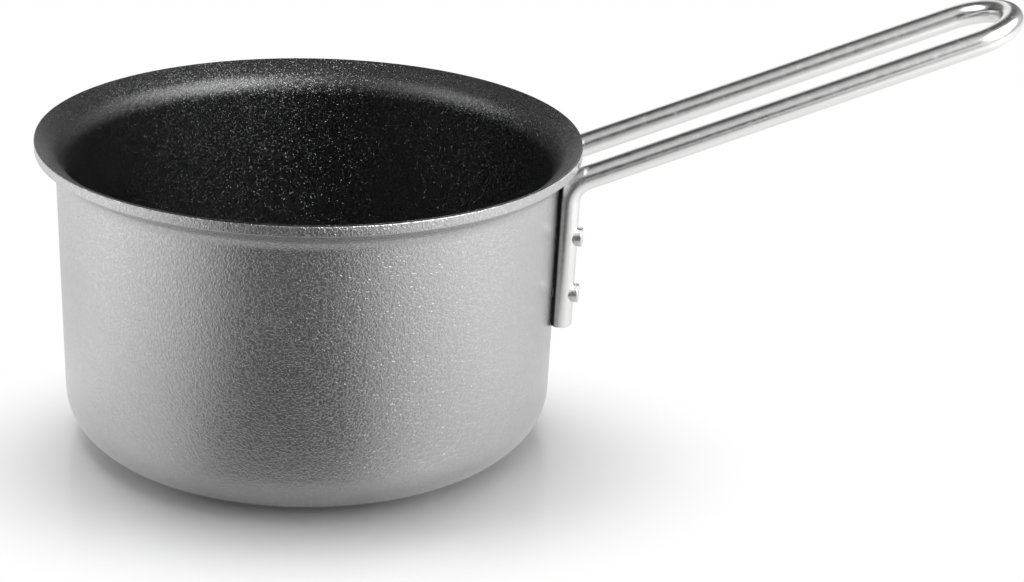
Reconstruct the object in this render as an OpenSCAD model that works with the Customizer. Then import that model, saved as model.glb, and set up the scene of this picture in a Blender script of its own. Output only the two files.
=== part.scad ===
// Cast saucepan with a flared pouring rim, a dark non-stick lining, a pressed-in
// induction disc and a loop handle bent from one round rod, held by four rivets.
// Origin: centre of the base on the pan axis. +Z up, +X towards the handle.

/* [Pan] */
// Height of the pan from the base to the top of the rim
pan_h = 98.5; // [80:0.5:150]
// Inside diameter at the top of the straight wall, under the flare
inner_d = 154; // [130:1:220]
// Thickness of the cast wall, without its lining
wall_t = 2.8; // [2.2:0.1:4]
// Thickness of the cast floor, without its lining
floor_t = 4.5; // [3.5:0.1:7]
// Lean of the wall away from the vertical, in degrees
wall_draft = 0.85; // [0:0.05:2]
// Outer radius of the corner between wall and base
corner_r = 15; // [9:0.5:20]
// Smallest radius of the inner corner between wall and floor
floor_corner_r = 12; // [6:0.5:16]

/* [Rim] */
// How far the rim stands out beyond the wall
rim_reach = 6.4; // [5.5:0.1:9]
// Radius of the bend that turns the lined wall out into the rim
flare_r = 9; // [7:0.5:10]
// Rise of the rim above the horizontal, in degrees
flare_rise = 34; // [28:1:42]
// Bevel along the outer edges of the rim
rim_bevel = 0.4; // [0.2:0.1:0.8]

/* [Lining] */
// Thickness of the non-stick lining
lining_t = 0.3; // [0.2:0.05:0.6]
// Width of bare metal left along the top edge of the rim
rim_bare_w = 0.7; // [0.5:0.1:1.5]

/* [Induction disc] */
// Diameter of the steel disc in the base
disc_d = 124; // [90:1:126]
// Thickness of the steel disc
disc_t = 1; // [0.8:0.1:2]
// How far the disc stands proud of the cast base
disc_proud = 0.3; // [0.1:0.1:0.6]
// Least width of the flat ring of cast metal round the disc
base_ring_w = 2; // [1:0.5:4]
// Diameter of the anchoring holes
anchor_d = 5; // [3:0.5:7]
// Distance between the rings of anchoring holes
anchor_pitch = 12.5; // [11:0.5:20]

/* [Handle] */
// Diameter of the handle rod
rod_d = 7.6; // [7.2:0.1:9]
// Distance between the two runs of the handle, centre to centre
handle_w = 31; // [26:1:40]
// Length from the bend at the pan to the middle of the end loop
handle_l = 135.5; // [90:0.5:200]
// Rise of the handle above the horizontal, in degrees
handle_rise = 20.8; // [10:0.1:26]
// Radius of the bend at the pan, on the centre line
bend_r = 8.7; // [7:0.1:12]
// Upright gap between the underside of the rim and the rod below it
rim_gap = 1.5; // [0.8:0.1:4]
// Thickness of the legs where they are pressed flat against the wall
leg_t = 6.5; // [6:0.1:7.1]
// Length of a leg below its lower rivet
leg_tail = 11.4; // [7:0.1:16]
// Bevel at the cut end of a leg
leg_bevel = 0.6; // [0.3:0.1:1]

/* [Rivets] */
// Diameter of the rivet shank
rivet_d = 4; // [3:0.1:4.4]
// Diameter of the formed head on the leg
head_d = 6.2; // [5.4:0.1:6.6]
// Height of the formed head above the leg
head_h = 1.7; // [1.2:0.1:2.5]
// Diameter of the head inside the pan
inner_head_d = 9; // [7:0.1:12]
// Height of the head inside the pan
inner_head_h = 1.6; // [1:0.1:2.4]
// Distance from the bend down to the upper rivet
rivet_drop = 11.6; // [8:0.1:16]
// Distance between the two rivets of a leg
rivet_pitch = 19.2; // [14:0.1:24]

/* [Hidden] */

// Running clearance round shanks, heads and the disc
fit = 0.05;
// Overrun of every cut past the surface that it opens
cut = 1;
// Bends of the rod are this much fuller than its straight lengths, which run
// a short way into them, so that each joint is one clean edge
bend_swell = 0.02;
run_in = 0.4;
// Steps in a rounded stretch of a turned outline, and facets round a circle
arc_n = 12;
pan_fn = 144;
rod_fn = 48;
hole_fn = 32;

// Heights of the base
cast_base_z = disc_proud;
recess_z = disc_t;
cast_floor_z = cast_base_z + floor_t;
lined_floor_z = cast_floor_z + lining_t;

// Rim and flare. The arcs of the lining, of the cast inside and of the cast
// outside share one centre, so the wall keeps its thickness round the bend.
rim_r = inner_d / 2 + (lining_t + wall_t) / cos(wall_draft) + rim_reach;
cast_flare_r = flare_r - lining_t;
outer_flare_r = cast_flare_r - wall_t;
flare_end = 90 + flare_rise;
flare_c_r = inner_d / 2 + flare_r * cos(wall_draft);
flare_c_z = pan_h - cast_flare_r * sin(flare_end)
    - (rim_r - flare_c_r - cast_flare_r * cos(flare_end)) * tan(flare_rise);
flare_c = [flare_c_r, flare_c_z];
wall_top_z = flare_c_z + flare_r * sin(wall_draft);
rim_under_z = pan_h - wall_t / cos(flare_rise);

// Radius of a wall surface at height z, given how deep it lies behind the lining
function wall_r(z, depth) =
    inner_d / 2 + depth / cos(wall_draft) + (z - wall_top_z) * tan(wall_draft);
function outer_r(z) = wall_r(z, lining_t + wall_t);

// Points on an arc about c, from angle a to angle b
function arc(c, r, a, b) =
    [for (i = [0 : arc_n]) c + r * [cos(a + (b - a) * i / arc_n), sin(a + (b - a) * i / arc_n)]];

// Corner between the wall at the given depth and a level surface at height z
function corner_c(z, r, depth) = [wall_r(z + r, depth) - r / cos(wall_draft), z + r];

// The outer corner ends where the flat ring round the disc begins
base_corner_r = min(corner_r,
    (outer_r(cast_base_z) - disc_d / 2 - base_ring_w) * cos(wall_draft) / (1 - sin(wall_draft)));
inner_corner_r = max(floor_corner_r, base_corner_r - wall_t - lining_t);

// Upper surface of the rim at radius r, measured a depth below the lining
function rim_z(r, depth) =
    pan_h + (lining_t - depth) / cos(flare_rise) - (rim_r - r) * tan(flare_rise);

// Inside surface from the axis to the edge of the rim, at a depth below the lining
function inside_line(depth, edge_r) = concat(
    [[0, lined_floor_z - depth]],
    arc(corner_c(lined_floor_z - depth, inner_corner_r + depth, depth),
        inner_corner_r + depth, -90, -wall_draft),
    arc(flare_c, flare_r - depth, 180 - wall_draft, flare_end),
    [[edge_r, rim_z(edge_r, depth)]]);

function reversed(p) = [for (i = [len(p) - 1 : -1 : 0]) p[i]];

// Legs of the handle. They follow the wall, with the pressed flat on its outside.
rod_r = rod_d / 2;
flat_off = leg_t - rod_r;
leg_mid_share = 0.6;
leg_ref_z = pan_h * leg_mid_share;
leg_ref_r = outer_r(leg_ref_z) + fit + flat_off;
leg_ref_x = sqrt(pow(leg_ref_r, 2) - pow(handle_w / 2, 2));
leg_slope = tan(wall_draft) * leg_ref_r / leg_ref_x;
leg_lean = atan(leg_slope);
function leg_x(z) = leg_ref_x + (z - leg_ref_z) * leg_slope;

// Crossing of the centre lines of leg and run, set by the gap under the rim
run_z_at_rim = rim_under_z - rim_gap - rod_r / cos(handle_rise);
corner_z = (run_z_at_rim - (rim_r - leg_x(0)) * tan(handle_rise))
    / (1 - leg_slope * tan(handle_rise));
corner_x = leg_x(corner_z);
bend_turn = 90 - handle_rise - leg_lean;
bend_cut = bend_r * tan(bend_turn / 2);
bend_start_z = corner_z - bend_cut * cos(leg_lean);

// Heights on a leg
upper_rivet_z = bend_start_z - rivet_drop;
lower_rivet_z = upper_rivet_z - rivet_pitch;
leg_end_z = lower_rivet_z - leg_tail;

// Depths along a rivet, from the centre line of the leg inwards
wall_depth = flat_off + fit;
lined_depth = wall_depth + wall_t + lining_t;
// The wall curves under the inner head, which seats on its edge
inner_wall_r = wall_r(lower_rivet_z, 0);
inner_sag = inner_wall_r - sqrt(pow(inner_wall_r, 2) - pow(inner_head_d / 2, 2));
// The formed head wraps down the sides of the round leg
head_wrap = rod_r - sqrt(pow(rod_r, 2) - pow(head_d / 2, 2));
head_round_share = 0.45;
inner_round_share = 0.8;

// Rings of anchoring holes in the disc
anchor_per_ring = 6;
anchor_rings = floor((disc_d / 2 - anchor_pitch / 2) / anchor_pitch);

module cast_outline() {
    polygon(concat(
        [[0, recess_z], [disc_d / 2 + fit, recess_z], [disc_d / 2 + fit, cast_base_z]],
        arc(corner_c(cast_base_z, base_corner_r, lining_t + wall_t), base_corner_r,
            -90, -wall_draft),
        arc(flare_c, outer_flare_r, 180 - wall_draft, flare_end),
        [[rim_r - rim_bevel, rim_under_z - rim_bevel * tan(flare_rise)],
         [rim_r, rim_under_z + rim_bevel]],
        [[rim_r, pan_h - rim_bevel]],
        reversed(inside_line(lining_t, rim_r - rim_bevel))));
}

module lining_outline() {
    polygon(concat(inside_line(lining_t, rim_r - rim_bare_w),
        reversed(inside_line(0, rim_r - rim_bare_w))));
}

// Places its children on a rivet axis: origin on the centre line of the leg,
// local z pointing out of the pan, square to the wall
module on_leg(side, z) {
    translate([leg_x(z), side * handle_w / 2, z])
        rotate([0, 0, side * atan2(handle_w / 2, leg_x(z))])
            rotate([0, 90 + wall_draft, 0])
                children();
}

module rivet_holes(side) {
    for (z = [upper_rivet_z, lower_rivet_z])
        on_leg(side, z)
            translate([0, 0, -lined_depth - cut])
                cylinder(h = lined_depth + rod_r + 2 * cut, d = rivet_d + 2 * fit, $fn = hole_fn);
}

module pan_body() {
    color("silver")
    difference() {
        rotate_extrude($fn = pan_fn) cast_outline();
        rivet_holes(-1);
        rivet_holes(1);
    }
}

module nonstick_lining() {
    color("#26272a")
    difference() {
        rotate_extrude($fn = pan_fn) lining_outline();
        rivet_holes(-1);
        rivet_holes(1);
    }
}

module induction_disc() {
    color("lightsteelblue")
    difference() {
        cylinder(h = disc_t, d = disc_d, $fn = pan_fn);
        for (ring = [1 : anchor_rings], i = [0 : anchor_per_ring * ring - 1])
            rotate([0, 0, 360 * i / (anchor_per_ring * ring)])
                translate([ring * anchor_pitch, 0, -cut])
                    cylinder(h = disc_t + 2 * cut, d = anchor_d, $fn = hole_fn);
    }
}

// Straight leg on the centre line, with its bevelled end, grown by a clearance
module leg(side, grow = 0) {
    length = (bend_start_z - leg_end_z) / cos(leg_lean) + run_in;
    translate([leg_x(leg_end_z), side * handle_w / 2, leg_end_z])
        rotate([0, leg_lean, 0]) {
            cylinder(h = leg_bevel, r1 = rod_r - leg_bevel + grow, r2 = rod_r + grow, $fn = rod_fn);
            translate([0, 0, leg_bevel])
                cylinder(h = length - leg_bevel, r = rod_r + grow, $fn = rod_fn);
        }
}

// Bend from the leg into the run
module bend(side) {
    centre = [corner_x - bend_cut * sin(leg_lean) + bend_r * cos(leg_lean),
        bend_start_z - bend_r * sin(leg_lean)];
    translate([centre[0], side * handle_w / 2, centre[1]])
        rotate([90, 0, 0])
            rotate([0, 0, 90 + handle_rise])
                rotate_extrude(angle = bend_turn, $fn = pan_fn)
                    translate([bend_r, 0])
                        circle(r = rod_r + bend_swell, $fn = rod_fn);
}

// Straight run from the bend to the end loop
module run(side) {
    translate([corner_x, side * handle_w / 2, corner_z])
        rotate([0, 90 - handle_rise, 0])
            translate([0, 0, bend_cut - run_in])
                cylinder(h = handle_l - bend_cut + 2 * run_in, r = rod_r, $fn = rod_fn);
}

// Half ring that joins the two runs
module end_loop() {
    translate([corner_x + handle_l * cos(handle_rise), 0, corner_z + handle_l * sin(handle_rise)])
        rotate([0, -handle_rise, 0])
            rotate([0, 0, -90])
                rotate_extrude(angle = 180, $fn = pan_fn)
                    translate([handle_w / 2, 0])
                        circle(r = rod_r + bend_swell, $fn = rod_fn);
}

// Block that presses the inner side of a leg flat, along the wall
module flat_cutter(side) {
    depth = rod_r;
    height = (corner_z - leg_end_z) + rod_d;
    on_leg(side, leg_end_z)
        translate([-height, -rod_d, -flat_off - depth])
            cube([height + rod_d, 2 * rod_d, depth]);
}

module handle_rod() {
    color("gainsboro")
    difference() {
        union() {
            for (side = [-1, 1]) {
                leg(side);
                bend(side);
                run(side);
            }
            end_loop();
        }
        for (side = [-1, 1]) {
            flat_cutter(side);
            rivet_holes(side);
        }
    }
}

// Turned head: a short barrel with a rounded shoulder, standing on z = 0
module head(d, h, round_r) {
    rotate_extrude($fn = rod_fn)
        polygon(concat([[0, 0], [d / 2, 0]],
            arc([d / 2 - round_r, h - round_r], round_r, 0, 90),
            [[0, h]]));
}

// One rivet: formed head wrapped on the leg, shank, and the head inside the pan
module rivet(side, z) {
    color("whitesmoke")
    difference() {
        on_leg(side, z) {
            translate([0, 0, rod_r - head_wrap])
                head(head_d, head_wrap + head_h, head_h * head_round_share);
            translate([0, 0, -lined_depth - inner_sag - fit])
                cylinder(h = lined_depth + inner_sag + fit + rod_r, d = rivet_d, $fn = hole_fn);
            translate([0, 0, -lined_depth - inner_sag - fit])
                rotate([180, 0, 0])
                    head(inner_head_d, inner_head_h, inner_head_h * inner_round_share);
        }
        difference() {
            leg(side, fit);
            rivet_holes(side);
        }
    }
}

module rivet_near_upper() { rivet(-1, upper_rivet_z); }
module rivet_near_lower() { rivet(-1, lower_rivet_z); }
module rivet_far_upper() { rivet(1, upper_rivet_z); }
module rivet_far_lower() { rivet(1, lower_rivet_z); }

pan_body();
nonstick_lining();
induction_disc();
handle_rod();
rivet_near_upper();
rivet_near_lower();
rivet_far_upper();
rivet_far_lower();
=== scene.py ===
import math

import bpy
from bpy.props import FloatProperty, FloatVectorProperty, IntProperty, PointerProperty
from mathutils import Matrix, Vector


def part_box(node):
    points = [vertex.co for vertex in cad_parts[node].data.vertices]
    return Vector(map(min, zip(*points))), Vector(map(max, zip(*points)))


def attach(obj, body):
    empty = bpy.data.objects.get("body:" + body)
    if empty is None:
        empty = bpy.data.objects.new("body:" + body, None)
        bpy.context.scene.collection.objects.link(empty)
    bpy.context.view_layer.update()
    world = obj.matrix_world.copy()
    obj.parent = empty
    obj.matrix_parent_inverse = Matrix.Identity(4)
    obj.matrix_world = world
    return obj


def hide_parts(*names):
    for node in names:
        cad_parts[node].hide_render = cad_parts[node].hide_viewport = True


# A small cast saucepan with a flared pouring rim, a dark non-stick lining, a steel
# disc in its base and a loop handle bent from one round rod, held by four rivets.
# Lengths are in metres and angles in radians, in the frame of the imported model:
# +Z up along the pan's axis, +X towards the end of the handle, base on Z = 0.

bl_info = {
    "name": "Loop-handled Saucepan",
    "version": (1, 0, 0),
    "blender": (4, 5, 0),
    "location": "View3D > Sidebar > Saucepan",
    "description": "Models a cast saucepan with a loop handle round its frame",
    "category": "Add Mesh",
}

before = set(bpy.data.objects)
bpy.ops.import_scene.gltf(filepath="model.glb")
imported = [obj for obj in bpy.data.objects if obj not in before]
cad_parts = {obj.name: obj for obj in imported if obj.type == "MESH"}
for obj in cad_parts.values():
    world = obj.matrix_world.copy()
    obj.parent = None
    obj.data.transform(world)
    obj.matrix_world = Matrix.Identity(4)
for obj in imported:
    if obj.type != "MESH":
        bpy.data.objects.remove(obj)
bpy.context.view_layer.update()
PAN_LOW, PAN_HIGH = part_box("pan_body")
DISC_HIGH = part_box("induction_disc")[1]

MM = 0.001
FULL_TURN = 2 * math.pi
QUARTER_TURN = math.pi / 2


# Settings

def length(name, description, default):
    """A length of the object, in metres"""
    return FloatProperty(name=name, description=description, default=default, min=0.0,
                         unit="LENGTH", subtype="DISTANCE", precision=5)


def angle(name, description, degrees):
    """An angle, given in degrees and kept in radians"""
    return FloatProperty(name=name, description=description, default=math.radians(degrees),
                         unit="ROTATION", subtype="ANGLE")


def number(name, description, default):
    """A plain number that isn't negative"""
    return FloatProperty(name=name, description=description, default=default, min=0.0)


def count(name, description, default):
    """A whole number of steps or copies"""
    return IntProperty(name=name, description=description, default=default, min=1)


def colour(name, description, default):
    """A linear colour"""
    return FloatVectorProperty(name=name, description=description, default=default,
                               subtype="COLOR", size=3, min=0.0, max=1.0)


def point(name, description, default):
    """A place, in metres"""
    return FloatVectorProperty(name=name, description=description, default=default, size=3,
                               unit="LENGTH", subtype="TRANSLATION", precision=5)


class PanSettings(bpy.types.PropertyGroup):
    """Sizes of the cast pan, its lining and the disc in its base"""
    rim_radius: length("Rim radius", "Outer radius of the rim", PAN_HIGH.x)
    rim_top: length("Rim top", "Highest point of the bevelled rim", PAN_HIGH.z)
    base_height: length("Base height", "Height of the cast ring round the disc", PAN_LOW.z)
    wall: length("Wall", "Thickness of the cast wall", 2.8 * MM)
    floor: length("Floor", "Thickness of the cast floor", 4.5 * MM)
    draft: angle("Draft", "Lean of the wall away from the vertical", 0.85)
    corner: length("Corner", "Outer radius between wall and base", 15 * MM)
    inner_corner: length("Inner corner", "Inner radius between wall and floor", 12 * MM)
    rim_reach: length("Rim reach", "How far the rim stands out from the wall", 6.4 * MM)
    flare: length("Flare", "Radius of the bend from the lined wall to the rim", 9 * MM)
    flare_rise: angle("Flare rise", "Rise of the rim above the horizontal", 34)
    rim_bevel: length("Rim bevel", "Bevel of the frame's rim", 0.4 * MM)
    rim_round: length("Rim rounding", "Radius of the rim's rounded upper edge", 0.32 * MM)
    under_round: length("Under rounding", "Radius of the rim's rounded lower edge", 0.448 * MM)
    machined: length("Machined edge", "Height of the bare metal at the rim", 0.384 * MM)
    machined_fade: length("Machined fade", "Height over which the skin fades out", 0.25 * MM)
    base_round: length("Base rounding", "Radius of the rounded edge round the disc", 0.25 * MM)
    lining: length("Lining", "Thickness of the non-stick lining", 0.3 * MM)
    lining_round: length("Lining rounding", "Radius of the lining's edge at the rim", 0.12 * MM)
    bare: length("Bare edge", "Width of bare metal along the top of the rim", 0.18 * MM)
    disc_radius: length("Disc radius", "Radius of the steel disc", DISC_HIGH.x)
    disc_top: length("Disc top", "Height of the top of the steel disc", DISC_HIGH.z)
    disc_fit: length("Disc fit", "Clearance round the steel disc", 0.05 * MM)
    disc_round: length("Disc rounding", "Radius of the disc's lower edge", 0.3 * MM)
    stud_radius: length("Stud radius", "Radius of the anchoring holes", 2.5 * MM)
    stud_pitch: length("Stud pitch", "Distance between the rings of studs", 12.5 * MM)
    stud_sink: length("Stud sink", "Depth of a stud's face inside its hole", 0.08 * MM)
    stud_round: length("Stud rounding", "Radius of the rounded edge of a stud", 0.15 * MM)
    sharp: angle("Sharp edge", "A stud's edges that turn by more than this are rounded", 40)
    rings: count("Rings", "Rings of studs in the disc", 4)
    ring_studs: count("Studs per ring", "Studs in the first ring; each ring adds as many", 6)
    sides: count("Sides", "Segments round the pan", 256)
    arc_steps: count("Arc steps", "Segments in each rounded stretch of an outline", 14)


class HandleSettings(bpy.types.PropertyGroup):
    """Sizes of the bent rod"""
    rod: length("Rod radius", "Radius of the round rod", 3.8 * MM)
    width: length("Width", "Between the middles of the two runs", 31 * MM)
    run: length("Length", "From a run's corner at its leg to the loop's middle", 135.5 * MM)
    rise: angle("Rise", "Rise of the runs above the horizontal", 20.8)
    bend: length("Bend", "Radius of the bend at the pan, on the centre line", 8.7 * MM)
    rim_gap: length("Rim gap", "Upright gap between the rim and the rod below it", 1.5 * MM)
    leg: length("Leg", "Thickness of a leg where it is pressed flat", 6.5 * MM)
    tail: length("Tail", "Length of a leg below its lower rivet", 11.4 * MM)
    end_bevel: length("End bevel", "Bevel at the cut end of a leg", 0.6 * MM)
    edge_round: length("Edge rounding", "Rounding of the rod's cut edges", 0.3 * MM)
    slot: length("Slot", "Height of the slot between leg and wall, beside the foot", 0.9 * MM)
    foot: length("Foot", "From a leg's middle to its slot, on the leg's outer side", 2.1 * MM)
    leg_share: number("Leg share", "Height on the wall, as a share, where a leg is set", 0.6)
    fit: length("Fit", "Clearance between a leg and the wall", 0.05 * MM)
    span: length("Span", "Length of the shapes that cut the legs and the rivets", 15.2 * MM)
    sharp: angle("Sharp edge", "The rod's edges that turn by more than this are rounded", 36)
    sides: count("Sides", "Segments round the rod", 64)
    bend_steps: count("Bend steps", "Segments along a bend at the pan", 28)
    loop_steps: count("Loop steps", "Segments along the end loop", 72)


class RivetSettings(bpy.types.PropertyGroup):
    """Sizes of the four rivets"""
    shank: length("Shank radius", "Radius of the shank", 2 * MM)
    head: length("Head radius", "Radius of the formed head on the leg", 3.1 * MM)
    head_height: length("Head height", "Height of the formed head above the leg", 1.7 * MM)
    inner_head: length("Inner head radius", "Radius of the head inside the pan", 4.5 * MM)
    inner_height: length("Inner head height", "Height of the head inside the pan", 1.6 * MM)
    drop: length("Drop", "From the bend down to the upper rivet", 11.6 * MM)
    pitch: length("Pitch", "Distance between the rivets of a leg", 19.2 * MM)
    shoulder: number("Shoulder share", "Rounding of the formed head, as a share", 0.34)
    inner_shoulder: number("Inner shoulder share", "Rounding of the inner head, as a share", 0.8)
    crown: length("Crown", "Rise of the formed head's face over its shoulder", 0.08 * MM)
    crown_reach: number("Crown reach", "Share of the face at which the crown bends most", 0.55)
    crown_fall: number("Crown fall", "Share of the crown's rise lost at that bend", 0.25)
    edge_round: length("Edge rounding", "Rounding of a rivet's sharp edges", 0.12 * MM)
    sharp: angle("Sharp edge", "A rivet's edges that turn by more than this are rounded", 50)
    crease: angle("Crease", "A rivet's edges that turn by more than this stay sharp", 40)
    sides: count("Sides", "Segments round a rivet", 64)
    arc_steps: count("Arc steps", "Segments in each rounded shoulder of a rivet", 8)
    saddle_sides: count("Saddle sides", "Segments round the shape that hollows the saddle", 96)


class FinishSettings(bpy.types.PropertyGroup):
    """Colours and grain of the finishes"""
    cast: colour("Cast aluminium", "Blasted cast aluminium", (0.56, 0.56, 0.56))
    cast_pebbles: number("Cast pebbles", "Pebbles per metre of the cast skin", 1250)
    cast_relief: length("Cast relief", "Height of the cast skin's pebbles", 0.072 * MM)
    bare_metal: colour("Bare metal", "Machined aluminium along the rim", (0.4, 0.4, 0.4))
    bare_roughness: number("Bare roughness", "Roughness of the machined rim", 0.24)
    coating: colour("Non-stick coating", "Dark ceramic coating", (0.0015, 0.0015, 0.0017))
    lining_pebbles: number("Lining pebbles", "Pebbles per metre of the coating", 3000)
    lining_relief: length("Lining relief", "Height of the coating's pebbles", 0.02 * MM)
    fleck: colour("Flecks", "Metallic flecks in the coating", (0.18, 0.18, 0.185))
    flecks: number("Fleck count", "Flecks per metre of the coating", 3400)
    fleck_roughness: number("Fleck roughness", "Roughness of a fleck", 0.26)
    fleck_lean: number("Fleck lean", "How far a fleck may lean, as a share", 0.8)
    disc: colour("Disc steel", "Turned steel of the disc", (0.55, 0.55, 0.55))
    disc_lines: number("Disc lines", "Turning lines per metre across the disc", 2600)
    disc_relief: length("Disc relief", "Height of the turning lines", 0.03 * MM)
    rod: colour("Rod steel", "Satin steel of the handle", (0.84, 0.838, 0.835))
    rod_lines: number("Rod lines", "Drawn lines per metre round the rod", 2200)
    rod_pebbles: number("Rod pebbles", "Pebbles per metre of the rod", 1500)
    rod_relief: length("Rod relief", "Height of the rod's lines and pebbles", 0.014 * MM)
    # Painted shade: a near-black colour on the rod that stands in for the shade in the slots beside
    # the legs and under the rim; the next two settings spread it beside a slot
    painted_shade: colour("Unpolished", "Dark steel in the slots beside the legs", (0.03, 0.03, 0.03))
    slot_shade_share: number("Slot dark", "Share of dark steel next to a slot", 0.6)
    slot_shade_reach: length("Slot fade", "How far the dark fades out beyond a slot", 1.7 * MM)
    # Painted shade on the rod under the rim's overhang, standing in for the rim's shadow
    rim_shade_share: number("Rim dark", "Share of dark steel on the rod at the rim's underside", 0.7)
    rim_shade_reach: length("Rim fade", "How far the dark fades out from the rim", 4.25 * MM)
    rivet: colour("Rivet metal", "Satin metal of the rivets", (0.72, 0.72, 0.715))
    rivet_pebbles: number("Rivet pebbles", "Pebbles per metre of a rivet", 1400)
    rivet_relief: length("Rivet relief", "Height of a rivet's pebbles", 0.008 * MM)
    tone_spread: number("Tone spread", "How far a metal's tone varies, as a share", 0.03)


class StageSettings(bpy.types.PropertyGroup):
    """Camera, floor and light"""
    distance: length("Camera distance", "From the pan's axis, in front of the pan", 668.86 * MM)
    height: length("Camera height", "Height of the camera above the floor", 311.71 * MM)
    pitch: angle("Pitch", "How far the camera looks down", 20.331)
    yaw: angle("Yaw", "How far the camera turns towards the handle", 5.592)
    roll: angle("Roll", "How far the camera leans", 2.505)
    focal: number("Focal length", "Focal length in pixels of the picture", 2195.29)
    centre_row: number("Centre row", "Picture row of the optical axis", 240)
    picture_width: number("Picture width", "Width of the picture in pixels", 1024)
    picture_height: number("Picture height", "Height of the picture in pixels", 582)
    sensor: number("Sensor", "Width of the camera's sensor in millimetres", 36)
    floor_size: length("Floor size", "Side of the square floor", 12.0)
    shadow_centre: point("Shadow centre", "Middle of the shaded floor", (3.7 * MM, -31.8 * MM, 0))
    shadow_squeeze: number("Shadow squeeze", "How many times wider than deep the shade is", 1.5)
    shadow_inner: length("Shadow inner radius", "Within it the floor shows all its shade", 62.2 * MM)
    shadow_outer: length("Shadow outer radius", "Beyond it the floor is plain white", 143 * MM)
    front_turn: angle("Front turn", "How far the dark opening in front lies to the right", -7)
    side_glow: number("Side glow", "What the metal mirrors of the floor at its sides", 1.28)
    near_glow: number("Near glow", "Share of that near the pan", 0.8)
    glow_start: length("Glow start", "From the pan's axis to where that share grows", 170 * MM)
    glow_full: length("Glow full", "From the pan's axis to where it is whole", 340 * MM)
    shade_glow: number("Shade glow", "White share of the shaded floor in a mirror", 0.5)
    tent_turn: angle("Tent turn", "How far the dark part of the tent lies to the right", -15)
    tent_rise: angle("Tent rise", "How high the dark part of the tent lies", 15)
    floor_colour: colour("Floor colour", "Pale floor", (0.92, 0.92, 0.92))


# Outlines

class PanShape:
    """Places on the pan's cross-section, worked out from the settings"""

    def __init__(self, pan):
        self.pan = pan
        self.tan_draft = math.tan(pan.draft)
        self.cos_draft = math.cos(pan.draft)
        self.tan_rise = math.tan(pan.flare_rise)
        self.cos_rise = math.cos(pan.flare_rise)
        self.depth = pan.wall + pan.lining
        self.height = pan.rim_top + pan.rim_bevel * self.tan_rise
        self.inner_radius = pan.rim_radius - pan.rim_reach - self.depth / self.cos_draft
        self.flare_end = QUARTER_TURN + pan.flare_rise
        self.flare_start = math.pi - pan.draft
        cast_flare = pan.flare - pan.lining
        flare_r = self.inner_radius + pan.flare * self.cos_draft
        edge_run = pan.rim_radius - flare_r - cast_flare * math.cos(self.flare_end)
        flare_z = self.height - cast_flare * math.sin(self.flare_end) - edge_run * self.tan_rise
        self.flare_centre = (flare_r, flare_z)
        self.wall_top = flare_z + pan.flare * math.sin(pan.draft)
        self.rim_under = self.height - pan.wall / self.cos_rise
        self.cast_floor = pan.base_height + pan.floor
        self.lined_floor = self.cast_floor + pan.lining

    def wall_radius(self, z, depth):
        """Radius of a wall surface that lies a depth behind the lining's face"""
        return self.inner_radius + depth / self.cos_draft + (z - self.wall_top) * self.tan_draft

    def outer_radius(self, z):
        """Outer radius of the cast wall"""
        return self.wall_radius(z, self.depth)

    def corner(self, z, radius, depth):
        """Rounded corner between a level surface and the wall, from the level surface up"""
        centre = (self.wall_radius(z + radius, depth) - radius / self.cos_draft, z + radius)
        return arc(centre, radius, -QUARTER_TURN, -self.pan.draft, self.pan.arc_steps)

    def inside(self, depth, edge_radius):
        """Inside surface from the axis to the edge of the rim, a depth below the lining's face"""
        floor = self.lined_floor - depth
        edge = self.height + (self.pan.lining - depth) / self.cos_rise
        edge -= (self.pan.rim_radius - edge_radius) * self.tan_rise
        points = [(0.0, floor)]
        points += self.corner(floor, self.pan.inner_corner + depth, depth)
        points += arc(self.flare_centre, self.pan.flare - depth, self.flare_start,
                      self.flare_end, self.pan.arc_steps)
        points.append((edge_radius, edge))
        return points


def arc(centre, radius, start, end, steps):
    """Points of an outline along an arc"""
    turns = [start + (end - start) * i / steps for i in range(steps + 1)]
    return [(centre[0] + radius * math.cos(a), centre[1] + radius * math.sin(a)) for a in turns]


def rounded(before, corner, after, radius, steps=5):
    """Points of the arc that rounds one corner of an outline"""
    corner = Vector(corner)
    towards = (Vector(before) - corner).normalized()
    away = (Vector(after) - corner).normalized()
    half = towards.angle(away) / 2
    centre = corner + (towards + away).normalized() * radius / math.sin(half)
    first = corner + towards * radius / math.tan(half) - centre
    last = corner + away * radius / math.tan(half) - centre
    points = []
    for i in range(steps + 1):
        share = i / steps
        spoke = (first * (1 - share) + last * share).normalized() * radius
        points.append(tuple(centre + spoke))
    return points


# Modelling

def deselect_all():
    """Leaves nothing selected, so that an operator acts on the new piece alone"""
    if bpy.context.object and bpy.context.object.mode != "OBJECT":
        bpy.ops.object.mode_set(mode="OBJECT")
    bpy.ops.object.select_all(action="DESELECT")


def select_only(*pieces):
    """Selects these pieces alone and makes the first one active"""
    deselect_all()
    for piece in pieces:
        piece.select_set(True)
    bpy.context.view_layer.objects.active = pieces[0]


def apply_place(piece):
    """Moves the object's place into its mesh"""
    select_only(piece)
    bpy.ops.object.transform_apply(location=True, rotation=True, scale=True)


def close_mesh(gap=0.002 * MM):
    """Merges doubled points and turns all faces outwards, in edit mode"""
    bpy.ops.mesh.select_all(action="SELECT")
    bpy.ops.mesh.remove_doubles(threshold=gap)
    bpy.ops.mesh.normals_make_consistent(inside=False)


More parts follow.
